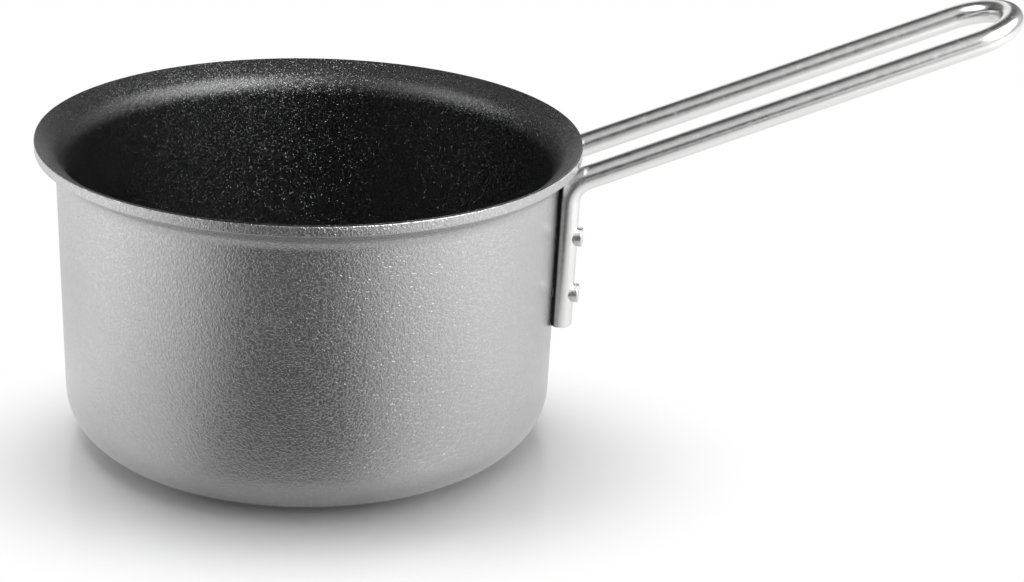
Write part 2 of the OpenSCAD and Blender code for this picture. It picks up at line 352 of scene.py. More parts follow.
def turned(name, outline, sides):
    """Spins an outline of (radius, height) pairs round the Z axis"""
    deselect_all()
    bpy.ops.mesh.primitive_plane_add(size=max(r for r, z in outline), location=(0, 0, 0))
    piece = bpy.context.active_object
    piece.name = name
    bpy.ops.object.mode_set(mode="EDIT")
    bpy.ops.mesh.select_mode(type="VERT")
    bpy.ops.mesh.select_all(action="SELECT")
    bpy.ops.mesh.merge(type="CENTER")
    bpy.ops.transform.translate(value=(outline[0][0], 0, outline[0][1]))
    for (r0, z0), (r1, z1) in zip(outline, outline[1:]):
        bpy.ops.mesh.extrude_vertices_move(
            TRANSFORM_OT_translate={"value": (r1 - r0, 0, z1 - z0)})
    bpy.ops.mesh.select_all(action="SELECT")
    bpy.ops.mesh.spin(steps=sides, angle=FULL_TURN, center=(0, 0, 0), axis=(0, 0, 1))
    close_mesh()
    bpy.ops.object.mode_set(mode="OBJECT")
    return piece


def cut_away(piece, cutter):
    """Subtracts one mesh from another and removes the cutter"""
    modifier = piece.modifiers.new("Cut", "BOOLEAN")
    modifier.operation = "DIFFERENCE"
    modifier.solver = "EXACT"
    modifier.object = cutter
    apply_modifier(piece, modifier)
    bpy.data.objects.remove(cutter)


def apply_modifier(piece, modifier):
    """Applies a modifier to the piece's mesh"""
    select_only(piece)
    bpy.ops.object.modifier_apply(modifier=modifier.name)


def round_edges(piece, width, limit, segments=3):
    """Rounds the edges that are sharper than the limit"""
    modifier = piece.modifiers.new("Round edges", "BEVEL")
    modifier.width = width
    modifier.segments = segments
    modifier.limit_method = "ANGLE"
    modifier.angle_limit = limit
    modifier.harden_normals = False
    apply_modifier(piece, modifier)


def smooth(piece, limit=math.radians(32)):
    """Shades the piece smooth, with its sharp edges kept"""
    select_only(piece)
    bpy.ops.object.shade_smooth_by_angle(angle=limit)


def joined(pieces):
    """Joins meshes into the first one"""
    select_only(*pieces)
    bpy.ops.object.join()
    return pieces[0]


def dressed(piece, name, node, material):
    """Names a finished piece, gives it its finish and puts it in its node's place"""
    piece.name = name
    piece.data.name = name
    piece.data.materials.clear()
    piece.data.materials.append(material)
    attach(piece, "root")
    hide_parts(node)


# Pieces

def stud_places(pan):
    """Centres of the anchoring holes, ring by ring"""
    for ring in range(1, pan.rings + 1):
        around = ring * pan.ring_studs
        for i in range(around):
            turn = FULL_TURN * i / around
            yield ring * pan.stud_pitch * math.cos(turn), ring * pan.stud_pitch * math.sin(turn)


def stud_field(pan, name, radius, low, high, sides=28):
    """One short cylinder in each anchoring hole, as one mesh"""
    deselect_all()
    bpy.ops.mesh.primitive_circle_add(vertices=sides, radius=radius, fill_type="NGON",
                                      location=(0, 0, low))
    stud = bpy.context.active_object
    apply_place(stud)
    bpy.ops.object.mode_set(mode="EDIT")
    bpy.ops.mesh.select_all(action="SELECT")
    bpy.ops.mesh.extrude_region_move(TRANSFORM_OT_translate={"value": (0, 0, high - low)})
    close_mesh()
    bpy.ops.object.mode_set(mode="OBJECT")
    studs = []
    for x, y in stud_places(pan):
        copy = bpy.data.objects.new(name, stud.data.copy())
        copy.location = (x, y, 0)
        bpy.context.scene.collection.objects.link(copy)
        studs.append(copy)
    bpy.data.objects.remove(stud)
    field = joined(studs)
    apply_place(field)
    return field


def make_pan_body(pan):
    """Cast pan: base with its recess, wall, flared rim and the inside under the lining"""
    shape = PanShape(pan)
    recess = pan.disc_radius + pan.disc_fit
    base = pan.base_height
    base_corner = shape.corner(base, pan.corner, shape.depth)
    outline = [(0.0, pan.disc_top), (recess, pan.disc_top)]
    outline += rounded((recess, pan.disc_top), (recess, base), base_corner[0], pan.base_round)
    outline += base_corner
    flare = arc(shape.flare_centre, pan.flare - shape.depth, shape.flare_start,
                shape.flare_end, pan.arc_steps)
    outline += flare
    under = (pan.rim_radius, shape.rim_under)
    top = (pan.rim_radius, shape.height)
    inside = shape.inside(pan.lining, pan.rim_radius - pan.bare)
    outline += rounded(flare[-1], under, top, pan.under_round)
    outline += rounded(under, top, inside[-1], pan.rim_round)
    outline += reversed(inside)
    body = turned("pan_body_skin", outline, pan.sides)
    studs = stud_field(pan, "studs", pan.stud_radius - pan.disc_fit, pan.stud_sink,
                       pan.disc_top + pan.lining)
    round_edges(studs, pan.stud_round, pan.sharp, segments=2)
    return joined([body, studs])


def make_lining(pan):
    """Thin non-stick shell over the floor, the wall and the flare"""
    shape = PanShape(pan)
    edge = pan.rim_radius - pan.bare
    face = shape.inside(0.0, edge)
    back = shape.inside(pan.lining, edge)
    outline = face[:-1] + rounded(face[-2], face[-1], back[-1], pan.lining_round) + back[::-1]
    return turned("nonstick_lining_skin", outline, pan.sides)


def make_disc(pan):
    """Steel disc with its rings of anchoring holes"""
    edge = (pan.disc_radius, 0.0)
    outline = [(0.0, 0.0)]
    outline += rounded((0.0, 0.0), edge, (pan.disc_radius, pan.disc_top), pan.disc_round)
    outline += [(pan.disc_radius, pan.disc_top), (0.0, pan.disc_top)]
    disc = turned("induction_disc_skin", outline, pan.sides)
    holes = stud_field(pan, "holes", pan.stud_radius, -pan.disc_top, 2 * pan.disc_top)
    cut_away(disc, holes)
    return disc


class HandleShape:
    """Places along the bent rod, worked out from the settings"""

    def __init__(self, pan, handle, rivet):
        shape = PanShape(pan)
        self.handle = handle
        self.flat = handle.leg - handle.rod
        ref_z = shape.height * handle.leg_share
        ref_r = shape.outer_radius(ref_z) + handle.fit + self.flat
        ref_x = math.sqrt(ref_r ** 2 - (handle.width / 2) ** 2)
        self.slope = shape.tan_draft * ref_r / ref_x
        self.lean = math.atan(self.slope)
        self.foot_x = ref_x - ref_z * self.slope
        tan_rise = math.tan(handle.rise)
        run_z = shape.rim_under - handle.rim_gap - handle.rod / math.cos(handle.rise)
        self.corner_z = run_z - (pan.rim_radius - self.foot_x) * tan_rise
        self.corner_z /= 1 - self.slope * tan_rise
        self.corner_x = self.leg_x(self.corner_z)
        self.turn = QUARTER_TURN - handle.rise - self.lean
        self.cut = handle.bend * math.tan(self.turn / 2)
        self.bend_z = self.corner_z - self.cut * math.cos(self.lean)
        self.bend_centre = (
            self.corner_x - self.cut * math.sin(self.lean) + handle.bend * math.cos(self.lean),
            self.bend_z - handle.bend * math.sin(self.lean))
        self.upper_z = self.bend_z - rivet.drop
        self.lower_z = self.upper_z - rivet.pitch
        self.leg_end = self.lower_z - handle.tail
        self.up = Vector((math.sin(self.lean), 0, math.cos(self.lean)))
        self.out = Vector((math.cos(handle.rise), 0, math.sin(handle.rise)))
        self.over = Vector((-math.sin(handle.rise), 0, math.cos(handle.rise)))
        self.loop_centre = Vector((self.corner_x, 0, self.corner_z)) + self.out * handle.run
        self.draft = pan.draft
        self.rim_under = shape.rim_under
        self.lined_depth = self.flat + handle.fit + pan.wall + pan.lining
        self.inner_wall = shape.wall_radius(self.lower_z, 0.0)

    def leg_x(self, z):
        """X of a leg's centre line at height z"""
        return self.foot_x + z * self.slope

    def on_leg(self, side, z):
        """Frame on a leg: origin on its centre line, local Z square out of the wall"""
        turn = side * math.atan2(self.handle.width / 2, self.leg_x(z))
        place = Matrix.Translation((self.leg_x(z), side * self.handle.width / 2, z))
        return place @ Matrix.Rotation(turn, 4, "Z") @ Matrix.Rotation(
            QUARTER_TURN + self.draft, 4, "Y")


def extrude(offset, scale=1.0, centre=None):
    """Extrudes the selected face and, where asked, scales it about its new centre"""
    bpy.ops.mesh.extrude_region_move(TRANSFORM_OT_translate={"value": tuple(offset)})
    if centre is not None:
        bpy.ops.transform.resize(value=(scale, scale, scale), center_override=tuple(centre))


def make_rod(shape):
    """One rod: leg, bend, run, half ring, run, bend and leg, with both legs pressed flat"""
    handle = shape.handle
    half = handle.width / 2
    start = Vector((shape.leg_x(shape.leg_end), -half, shape.leg_end))
    narrow = 1 - handle.end_bevel / handle.rod
    deselect_all()
    bpy.ops.mesh.primitive_circle_add(vertices=handle.sides, radius=handle.rod * narrow,
                                      fill_type="NGON", location=start,
                                      rotation=(0, shape.lean, 0))
    rod = bpy.context.active_object
    apply_place(rod)
    bpy.ops.object.mode_set(mode="EDIT")
    bpy.ops.mesh.select_mode(type="FACE")
    bpy.ops.mesh.select_all(action="SELECT")
    leg = (shape.bend_z - shape.leg_end) / math.cos(shape.lean) - handle.end_bevel
    run = handle.run - shape.cut
    bevel = shape.up * handle.end_bevel
    extrude(bevel, 1 / narrow, start + bevel)
    extrude(shape.up * leg)
    spin_face((shape.bend_centre[0], -half, shape.bend_centre[1]), (0, 1, 0), shape.turn,
              handle.bend_steps)
    extrude(shape.out * run)
    spin_face(shape.loop_centre, shape.over, math.pi, handle.loop_steps)
    extrude(-shape.out * run)
    spin_face((shape.bend_centre[0], half, shape.bend_centre[1]), (0, 1, 0), -shape.turn,
              handle.bend_steps)
    extrude(-shape.up * leg)
    finish = Vector((shape.leg_x(shape.leg_end), half, shape.leg_end))
    extrude(-bevel, narrow, finish)
    close_mesh()
    for side in (-1, 1):
        press_flat(rod, shape, side)
    bpy.ops.object.mode_set(mode="OBJECT")
    for side in (-1, 1):
        cut_away(rod, slot_former(shape, side))
    round_edges(rod, handle.edge_round, handle.sharp, segments=4)
    return rod


def slot_former(shape, side):
    """Block that cuts the slot between a leg and the wall, on the leg's outer side"""
    handle = shape.handle
    low = shape.leg_end - handle.rod
    high = shape.corner_z + handle.rod
    deselect_all()
    bpy.ops.mesh.primitive_cube_add(size=1)
    block = bpy.context.active_object
    width = 2 * handle.rod
    block.scale = ((high - low) / math.cos(shape.lean), width, 2 * handle.slot)
    place = shape.on_leg(side, (high + low) / 2)
    block.matrix_world = place @ Matrix.Translation(
        (0, side * (width / 2 + handle.foot), -shape.flat)) @ block.matrix_basis
    apply_place(block)
    return block


def spin_face(centre, axis, turn, steps):
    """Sweeps the selected face round an axis. The operator turns against the right hand."""
    bpy.ops.mesh.spin(steps=steps, angle=-turn, center=tuple(centre), axis=tuple(axis))


def press_flat(rod, shape, side):
    """Cuts the inner side of one leg flat, along the wall"""
    place = shape.on_leg(side, shape.leg_end)
    normal = (place.to_3x3() @ Vector((0, 0, 1))).normalized()
    point = place @ Vector((0, 0, -shape.flat))
    bpy.ops.mesh.select_all(action="DESELECT")
    bpy.ops.object.mode_set(mode="OBJECT")
    reach = shape.corner_x + shape.handle.span
    for polygon in rod.data.polygons:
        polygon.select = polygon.center.y * side > 0 and polygon.center.x < reach
    bpy.ops.object.mode_set(mode="EDIT")
    bpy.ops.mesh.bisect(plane_co=tuple(point), plane_no=tuple(normal), use_fill=True,
                        clear_inner=True)


def straighten(rod, shape):
    """Stores each point's place as if the rod were straight: across, above and along it"""
    handle = shape.handle
    leg = (shape.bend_z - shape.leg_end) / math.cos(shape.lean)
    run = handle.run - shape.cut
    to_run = leg + handle.bend * shape.turn
    total = 2 * (to_run + run) + handle.width / 2 * math.pi
    bend_centre = Vector((shape.bend_centre[0], 0, shape.bend_centre[1]))
    bend_start = Vector((shape.leg_x(shape.bend_z), 0, shape.bend_z))
    run_start = shape.loop_centre - shape.out * run
    leg_side = shape.up.cross(Vector((0, 1, 0)))
    straight = rod.data.attributes.new("straight", "FLOAT_VECTOR", "POINT")
    for index, vertex in enumerate(rod.data.vertices):
        spot = vertex.co
        flat = Vector((spot.x, 0, spot.z))
        across = abs(spot.y) - handle.width / 2
        past_loop = (flat - shape.loop_centre).dot(shape.out)
        past_run = (flat - run_start).dot(shape.out)
        past_leg = (flat - bend_start).dot(shape.up)
        if past_loop > 0:
            turn = math.atan2(past_loop, abs(spot.y))
            along = to_run + run + turn * handle.width / 2
            across = math.hypot(past_loop, spot.y) - handle.width / 2
            above = (flat - shape.loop_centre).dot(shape.over)
        elif past_run > 0 and past_leg > 0:
            along = to_run + past_run
            above = (flat - run_start).dot(shape.over)
        elif past_leg > 0:
            spoke = flat - bend_centre
            along = leg + handle.bend * math.atan2(past_leg, spoke.dot(leg_side))
            above = spoke.length - handle.bend
        else:
            along = leg + past_leg
            above = (flat - bend_start).dot(leg_side)
        if spot.y >= 0:
            along = total - along
        straight.data[index].vector = (across, above, along)


def store_painted_shade(rod, shape, pan, finish):
    """Stores the painted shade of each point: most in the slots, less beside them and under the rim
    """
    painted_shade = rod.data.attributes.new("painted_shade", "FLOAT", "POINT")
    leg_places = {side: shape.on_leg(side, shape.leg_end).inverted() for side in (-1, 1)}
    for index, vertex in enumerate(rod.data.vertices):
        spot = vertex.co
        out = (leg_places[-1 if spot.y < 0 else 1] @ spot).z
        # Painted shade of the slot: full inside it, fading out beyond its edge
        past_slot = out + shape.flat - shape.handle.slot
        beside = finish.slot_shade_share * (1 - past_slot / finish.slot_shade_reach)
        if past_slot < shape.handle.edge_round:
            beside = 1
        # Painted shade of the rim's overhang, fading out away from its underside
        past_rim = max(math.hypot(spot.x, spot.y) - pan.rim_radius, 0)
        rim_gap = math.hypot(past_rim, spot.z - shape.rim_under)
        under_rim = finish.rim_shade_share * (1 - rim_gap / finish.rim_shade_reach)
        painted_shade.data[index].value = min(max(beside, under_rim, 0), 1)


def make_rivet(shape, rivet):
    """One rivet, upright on the origin: local Z out of the pan, saddle along local X"""
    handle = shape.handle
    wrap = handle.rod - math.sqrt(handle.rod ** 2 - rivet.head ** 2)
    sag = shape.inner_wall - math.sqrt(shape.inner_wall ** 2 - rivet.inner_head ** 2)
    seat = -shape.lined_depth - sag - handle.fit
    inner_face = seat - rivet.inner_height
    foot = handle.rod - wrap
    face = handle.rod + rivet.head_height
    shoulder = rivet.head_height * rivet.shoulder
    inner_shoulder = rivet.inner_height * rivet.inner_shoulder
    outline = [(0.0, inner_face)]
    outline += arc((rivet.inner_head - inner_shoulder, inner_face + inner_shoulder),
                   inner_shoulder, -QUARTER_TURN, 0, rivet.arc_steps)
    outline += [(rivet.inner_head, seat), (rivet.shank, seat), (rivet.shank, foot),
                (rivet.head, foot)]
    rim = face - rivet.crown
    outline += arc((rivet.head - shoulder, rim - shoulder), shoulder, 0, QUARTER_TURN,
                   rivet.arc_steps)
    crown_radius = (rivet.head - shoulder) * rivet.crown_reach
    outline += [(crown_radius, face - rivet.crown * rivet.crown_fall), (0.0, face)]
    piece = turned("rivet", outline, rivet.sides)
    cut_away(piece, leg_former(handle, rivet))
    round_edges(piece, rivet.edge_round, rivet.sharp, segments=2)
    return piece


def leg_former(handle, rivet):
    """Drilled length of the leg, grown by its clearance, that shapes a rivet's saddle"""
    deselect_all()
    bpy.ops.mesh.primitive_cylinder_add(vertices=rivet.saddle_sides,
                                        radius=handle.rod + handle.fit, depth=handle.span,
                                        rotation=(0, QUARTER_TURN, 0))
    former = bpy.context.active_object
    apply_place(former)
    deselect_all()
    bpy.ops.mesh.primitive_cylinder_add(vertices=rivet.sides, radius=rivet.shank + handle.fit,
                                        depth=handle.span)
    cut_away(former, bpy.context.active_object)
    return former


# Finishes

# Where add_node puts the next node in the node editor
NODES_PER_ROW = 8
NODE_STEP = 260

# How many times finer the second noise of a pebbled skin is
FINE_SCALE = 2.6


def feed(node, inputs):
    """Gives a node's inputs their values, each a constant or another node's output"""
    for key, value in inputs.items():
        if isinstance(value, bpy.types.NodeSocket):
            node.id_data.links.new(value, node.inputs[key])
        else:
            node.inputs[key].default_value = value


def add_node(tree, kind, inputs=None, **options):
    """Adds one shader node in the next free place, with its options and inputs"""
    node = tree.nodes.new("ShaderNode" + kind)
    row, column = divmod(len(tree.nodes), NODES_PER_ROW)
    node.location = (column * NODE_STEP, -row * NODE_STEP)
    for key, value in options.items():
        setattr(node, key, value)
    feed(node, inputs or {})
    return node


def maths(tree, operation, *values):
    """Number that a Math node gives"""
    return add_node(tree, "Math", dict(enumerate(values)), operation=operation).outputs[0]


def vector_maths(tree, operation, *values):
    """Vector that a Vector Math node gives"""
    return add_node(tree, "VectorMath", dict(enumerate(values)), operation=operation).outputs[0]


def vector_measure(tree, operation, *values):
    """Number that a Vector Math node gives, such as a distance"""
    node = add_node(tree, "VectorMath", dict(enumerate(values)), operation=operation)
    return node.outputs["Value"]


def ranged(tree, value, start, end, low=0.0, high=1.0, curve="LINEAR"):
    """Value that goes from low to high while the given one goes from start to end"""
    limits = {"Value": value, "From Min": start, "From Max": end, "To Min": low, "To Max": high}
    return add_node(tree, "MapRange", limits, interpolation_type=curve).outputs[0]


def mixed(tree, share, first, second):
    """Number between two others"""
    inputs = {0: share, 2: first, 3: second}
    return add_node(tree, "Mix", inputs, data_type="FLOAT").outputs[0]


def mixed_colour(tree, share, first, second):
    """Colour between two others"""
    inputs = {0: share, 6: first, 7: second}
    return add_node(tree, "Mix", inputs, data_type="RGBA").outputs[2]


def grey_ramp(tree, value, stops):
    """Grey level along a row of (place, level) stops"""
    node = add_node(tree, "ValToRGB", {0: value})
    elements = node.color_ramp.elements
    while len(elements) < len(stops):
        elements.new(0.5)
    for element, (position, level) in zip(elements, stops):
        element.position = position
        element.color = (level, level, level, 1)
    return node.outputs[0]


def paint(linear, strength=1.0):
    """A colour setting, made weaker or stronger, with full opacity"""
    return (*[strength * channel for channel in linear], 1)


def new_group(name, inputs, outputs):
    """Starts a node group with named sockets; returns its tree, what it is given and its results"""
    tree = bpy.data.node_groups.new(name, "ShaderNodeTree")
    for label, kind, default in inputs:
        socket = tree.interface.new_socket(name=label, in_out="INPUT",
                                           socket_type="NodeSocket" + kind)
        if default is not None:
            socket.default_value = default
    for label in outputs:
        tree.interface.new_socket(name=label, in_out="OUTPUT", socket_type="NodeSocketFloat")
    given = tree.nodes.new("NodeGroupInput")
    results = tree.nodes.new("NodeGroupOutput")
    results.location = (NODES_PER_ROW * NODE_STEP, 0)
    return tree, given.outputs, results


def pebble_group():
    """Height of a blasted, pebbled skin, with soft worm-like crests"""
    tree, given, results = new_group(
        "Pebbled skin",
        [("Vector", "Vector", None), ("Scale", "Float", 700.0), ("Fine share", "Float", 0.3)],
        ["Height", "Crest"])
    coarse = add_node(tree, "TexNoise", {
        "Vector": given["Vector"], "Scale": given["Scale"],
        "Detail": 1.0, "Roughness": 0.4, "Distortion": 0.9})
    fine = add_node(tree, "TexNoise", {
        "Vector": given["Vector"], "Scale": maths(tree, "MULTIPLY", given["Scale"], FINE_SCALE),
        "Detail": 2.0, "Roughness": 0.55, "Distortion": 0.5})
    soft = ranged(tree, coarse.outputs[0], start=0.34, end=0.66, curve="SMOOTHSTEP")
    height = mixed(tree, given["Fine share"], soft, fine.outputs[0])
    crest = ranged(tree, height, start=0.45, end=0.85, curve="SMOOTHSTEP")
    feed(results, {"Height": height, "Crest": crest})
    return tree


def mottle_group():
    """Slow, cloudy change between a low and a high value"""
    tree, given, results = new_group(
        "Mottle",
        [("Vector", "Vector", None), ("Scale", "Float", 60.0), ("Low", "Float", 0.0),
         ("High", "Float", 1.0)],
        ["Value"])
    noise = add_node(tree, "TexNoise", {
        "Vector": given["Vector"], "Scale": given["Scale"], "Detail": 4.0, "Roughness": 0.55})
    value = ranged(tree, noise.outputs[0], start=0.3, end=0.7, low=given["Low"],
                   high=given["High"])
    feed(results, {"Value": value})
    return tree


def grain_group():
    """Fine lines drawn out along the vector's third axis"""
    tree, given, results = new_group(
        "Drawn grain",
        [("Vector", "Vector", None), ("Scale", "Float", 1500.0), ("Stretch", "Float", 0.02)],
        ["Value"])
    factors = add_node(tree, "CombineXYZ", {"X": 1.0, "Y": 1.0, "Z": given["Stretch"]})
    drawn = vector_maths(tree, "MULTIPLY", given["Vector"], factors.outputs[0])
    noise = add_node(tree, "TexNoise", {
        "Vector": drawn, "Scale": given["Scale"], "Detail": 3.0, "Roughness": 0.6})
    feed(results, {"Value": noise.outputs[0]})
    return tree


def place_group(tree, name, build, inputs):
    """Places a shared node group, built once, and returns its outputs"""
    group = bpy.data.node_groups.get(name) or build()
    return add_node(tree, "Group", inputs, node_tree=group).outputs


def pebbles(tree, place, per_metre, fine_share=None):
    """Pebbled skin with so many pebbles to the metre"""
    inputs = {"Vector": place, "Scale": per_metre}
    if fine_share is not None:
        inputs["Fine share"] = fine_share
    return place_group(tree, "Pebbled skin", pebble_group, inputs)


def mottled(tree, place, per_metre, low, high):
    """Value that changes in slow clouds from low to high"""
    inputs = {"Vector": place, "Scale": per_metre, "Low": low, "High": high}
    return place_group(tree, "Mottle", mottle_group, inputs)["Value"]


def drawn_lines(tree, vector, per_metre, **stretch):
    """Fine lines with so many to the metre"""
    inputs = {"Vector": vector, "Scale": per_metre, **stretch}
    return place_group(tree, "Drawn grain", grain_group, inputs)["Value"]


def new_material(name, base, metallic, roughness):
    """Starts a material with plain values; returns it with its tree and its shader"""
    material = bpy.data.materials.new(name)
    material.use_nodes = True
    tree = material.node_tree
    shader = tree.nodes["Principled BSDF"]
    feed(shader, {"Base Color": paint(base), "Metallic": metallic, "Roughness": roughness})
    return material, tree, shader


def add_bump(tree, shader, height, distance, normal=None):
    """Feeds a height through a Bump node into the shader"""
    bump = add_node(tree, "Bump", {"Distance": distance, "Height": height})
    if normal is not None:
        feed(bump, {"Normal": normal})
    feed(shader, {"Normal": bump.outputs[0]})


def cast_material(finish, pan):
    """Blasted cast aluminium, pebbled all over but for the machined edge of the rim"""
    material, tree, shader = new_material("cast_aluminium", finish.cast, metallic=1.0,
                                          roughness=0.3)
    place = add_node(tree, "TexCoord").outputs["Object"]
    skin = pebbles(tree, place, finish.cast_pebbles, fine_share=0.12)
    cloud = mottled(tree, place, per_metre=55.0, low=0.23, high=0.27)
    height = add_node(tree, "SeparateXYZ", {0: place}).outputs["Z"]
    edge_low = PanShape(pan).height - pan.machined
    edge = ranged(tree, height, edge_low, edge_low + pan.machined_fade)
    tone = mixed_colour(tree, skin["Crest"], paint(finish.cast, 1 - finish.tone_spread),
                        paint(finish.cast, 1 + finish.tone_spread))
    feed(shader, {
        "Base Color": mixed_colour(tree, edge, tone, paint(finish.bare_metal)),
        "Roughness": mixed(tree, edge, cloud, finish.bare_roughness)})
    relief = maths(tree, "MULTIPLY", skin["Height"], maths(tree, "SUBTRACT", 1.0, edge))
    add_bump(tree, shader, relief, finish.cast_relief)
    return material


def lining_material(finish):
    """Dark non-stick coating with a fine sparkle: flecks that each lean their own way"""
    material, tree, shader = new_material("nonstick_coating", finish.coating, metallic=0.0,
                                          roughness=0.36)
    feed(shader, {"IOR": 1.6})
    coordinates = add_node(tree, "TexCoord").outputs
    place = coordinates["Object"]
    skin = pebbles(tree, place, finish.lining_pebbles, fine_share=0.4)
    cloud = mottled(tree, place, per_metre=40.0, low=0.28, high=0.34)
    cells = add_node(tree, "TexVoronoi", {"Vector": place, "Scale": finish.flecks}).outputs
    pick = add_node(tree, "SeparateColor", {0: cells["Color"]}).outputs[0]
    chosen = ranged(tree, pick, start=0.1, end=0.7)
    spot = ranged(tree, cells["Distance"], start=0.6, end=0.3)
    fleck = maths(tree, "MULTIPLY", chosen, spot)
    feed(shader, {
        "Metallic": fleck,
        "Roughness": mixed(tree, fleck, cloud, finish.fleck_roughness),
        "Base Color": mixed_colour(tree, fleck, paint(finish.coating), paint(finish.fleck))})
    lean = vector_maths(tree, "SUBTRACT", cells["Color"], (0.5, 0.5, 0.5))
    reach = maths(tree, "MULTIPLY", spot, finish.fleck_lean)
    tilt = add_node(tree, "VectorMath", {0: lean, "Scale": reach}, operation="SCALE")
    tilted = vector_maths(tree, "ADD", coordinates["Normal"], tilt.outputs[0])
    normal = vector_maths(tree, "NORMALIZE", tilted)
    add_bump(tree, shader, skin["Height"], finish.lining_relief, normal)
    return material


def disc_material(finish):
    """Turned steel: fine rings round the pan's axis"""
    material, tree, shader = new_material("disc_steel", finish.disc, metallic=1.0, roughness=0.32)
    place = add_node(tree, "TexCoord").outputs["Object"]
    parts = add_node(tree, "SeparateXYZ", {0: place}).outputs
    level = add_node(tree, "CombineXYZ", {"X": parts["X"], "Y": parts["Y"]}).outputs[0]
    radius = vector_measure(tree, "LENGTH", level)
    ring = add_node(tree, "CombineXYZ", {"X": radius, "Y": parts["Z"]}).outputs[0]
    grain = drawn_lines(tree, ring, finish.disc_lines)
    feed(shader, {"Roughness": mottled(tree, place, per_metre=45.0, low=0.26, high=0.40)})
    add_bump(tree, shader, grain, finish.disc_relief)
    return material


def rod_material(finish):
    """Satin steel, drawn along the rod, with shade painted near-black into the slots beside the legs
    and under the rim
    """
    material, tree, shader = new_material("rod_steel", finish.rod, metallic=1.0, roughness=0.22)
    straight = add_node(tree, "Attribute", attribute_name="straight").outputs["Vector"]
    painted_shade = add_node(tree, "Attribute", attribute_name="painted_shade").outputs["Fac"]
    place = add_node(tree, "TexCoord").outputs["Object"]
    grain = drawn_lines(tree, straight, finish.rod_lines, Stretch=0.03)
    tone = mixed_colour(tree, grain, paint(finish.rod, 1 - finish.tone_spread),
                        paint(finish.rod, 1 + finish.tone_spread))
    feed(shader, {
        # The painted shade turns the steel near-black in the slots and under the rim
        "Base Color": mixed_colour(tree, painted_shade, tone, paint(finish.painted_shade)),
        "Roughness": mottled(tree, place, per_metre=420.0, low=0.14, high=0.28)})
    speckle = pebbles(tree, place, finish.rod_pebbles, fine_share=0.5)
    relief = maths(tree, "ADD", grain, speckle["Height"])
    add_bump(tree, shader, relief, finish.rod_relief)
    return material


def rivet_material(finish):
    """Satin metal of the rivets, slightly marked by the riveting tool"""
    material, tree, shader = new_material("rivet_steel", finish.rivet, metallic=1.0, roughness=0.3)
    place = add_node(tree, "TexCoord").outputs["Object"]
    feed(shader, {"Roughness": mottled(tree, place, per_metre=700.0, low=0.24, high=0.38)})
    skin = pebbles(tree, place, finish.rivet_pebbles)
    add_bump(tree, shader, skin["Height"], finish.rivet_relief)
    return material


# Stage

# What the metal mirrors of the floor, from straight in front (0) to straight behind (1)
FLOOR_GLOW = ((0.0, 0.09), (0.03, 0.14), (0.06, 0.35), (0.1, 0.53), (0.15, 0.66),
              (0.2, 0.75), (0.3, 0.9), (0.4, 1.0), (0.5, 0.96), (0.6, 0.9), (0.7, 0.84),
              (0.8, 0.78), (0.9, 0.71), (1.0, 0.7))

# The same where the floor is mirrored steeply, for its darkest and its brightest part
BELOW_GLOW = (0.32, 0.95)

# Brightness of the light tent round the pan, from the front horizon (0) over the
# top (0.5) to the horizon behind (1)
TENT = ((0.0, 1.0), (0.06, 0.9), (0.12, 0.62), (0.34, 0.66), (0.44, 0.5), (0.51, 0.32),
        (0.57, 0.2), (0.62, 0.1), (0.69, 0.09), (0.75, 0.12), (0.84, 0.1), (0.9, 0.25),
        (0.95, 0.1), (1.0, 0.02))

# The tent's dark opening: cosines of the angles from its middle to its edge and to
# its full dark, and the share of light left there
OPENING = (0.905, 0.97)
OPENING_LEVEL = 0.12

# The tent's flanks: how far to the side they start and are whole, of 1, and their
# brightness on the left and on the right
FLANK = (0.35, 0.85)
FLANK_LEVELS = (0.02, 0.62)

# White backdrop behind the pan: how far round from the front horizon, of half a turn,
# it starts and is whole, and how far to the side, of 1, it begins and ends to fade
BACKDROP_RISE = (0.74, 0.88)
BACKDROP_HALF = (0.13, 0.23)

# Soft boxes that the metal and the lining mirror: degrees to the right of the front,
# degrees above the horizon, degrees from their middle to their edge and to their full
# core, and brightness; and how softly that falls off
SOFT_BOXES = ((52, 42, 45, 12, 9.0), (98, 40, 24, 6, 5.0), (-82, 38, 38, 10, 3.8))
BOX_EASE = 3.0

# Lamps: name, place, what they face, side and radiance
LAMPS = (("tent_top", (0, 0.3, 1.6), (0, 0.3, 0), 5.0, 0.5),
         ("back_top_box", (-0.08, 0.33, 1.0), (0, 0, 0), 0.9, 3.1))


def make_camera(stage):
    """Camera at the photograph's viewing angle"""
    yaw, pitch, roll = stage.yaw, stage.pitch, stage.roll
    forward = Vector((math.sin(yaw) * math.cos(pitch), math.cos(yaw) * math.cos(pitch),
                      -math.sin(pitch)))
    level = Vector((math.cos(yaw), -math.sin(yaw), 0))
    above = level.cross(forward)
    right = level * math.cos(roll) + above * math.sin(roll)
    up = above * math.cos(roll) - level * math.sin(roll)
    data = bpy.data.cameras.new("camera")
    data.sensor_fit = "HORIZONTAL"
    data.sensor_width = stage.sensor
    data.lens = stage.focal / stage.picture_width * stage.sensor
    data.shift_y = (stage.centre_row - stage.picture_height / 2) / stage.picture_width
    camera = bpy.data.objects.new("camera", data)
    turn = Matrix((right, up, -forward)).transposed().to_4x4()
    camera.matrix_world = Matrix.Translation((0, -stage.distance, stage.height)) @ turn
    bpy.context.scene.collection.objects.link(camera)
    bpy.context.scene.camera = camera


def add_lamp(name, place, target, side, radiance):
    """Soft box: a square area lamp that faces the target and shows in no mirror"""
    data = bpy.data.lights.new(name, "AREA")
    data.shape = "SQUARE"
    data.size = side
    data.energy = radiance * math.pi * side ** 2
    lamp = bpy.data.objects.new(name, data)
    lamp.location = place
    direction = Vector(target) - Vector(place)
    lamp.rotation_mode = "QUATERNION"
    lamp.rotation_quaternion = direction.to_track_quat("-Z", "Y")
    lamp.visible_camera = False
    lamp.visible_glossy = False
    bpy.context.scene.collection.objects.link(lamp)


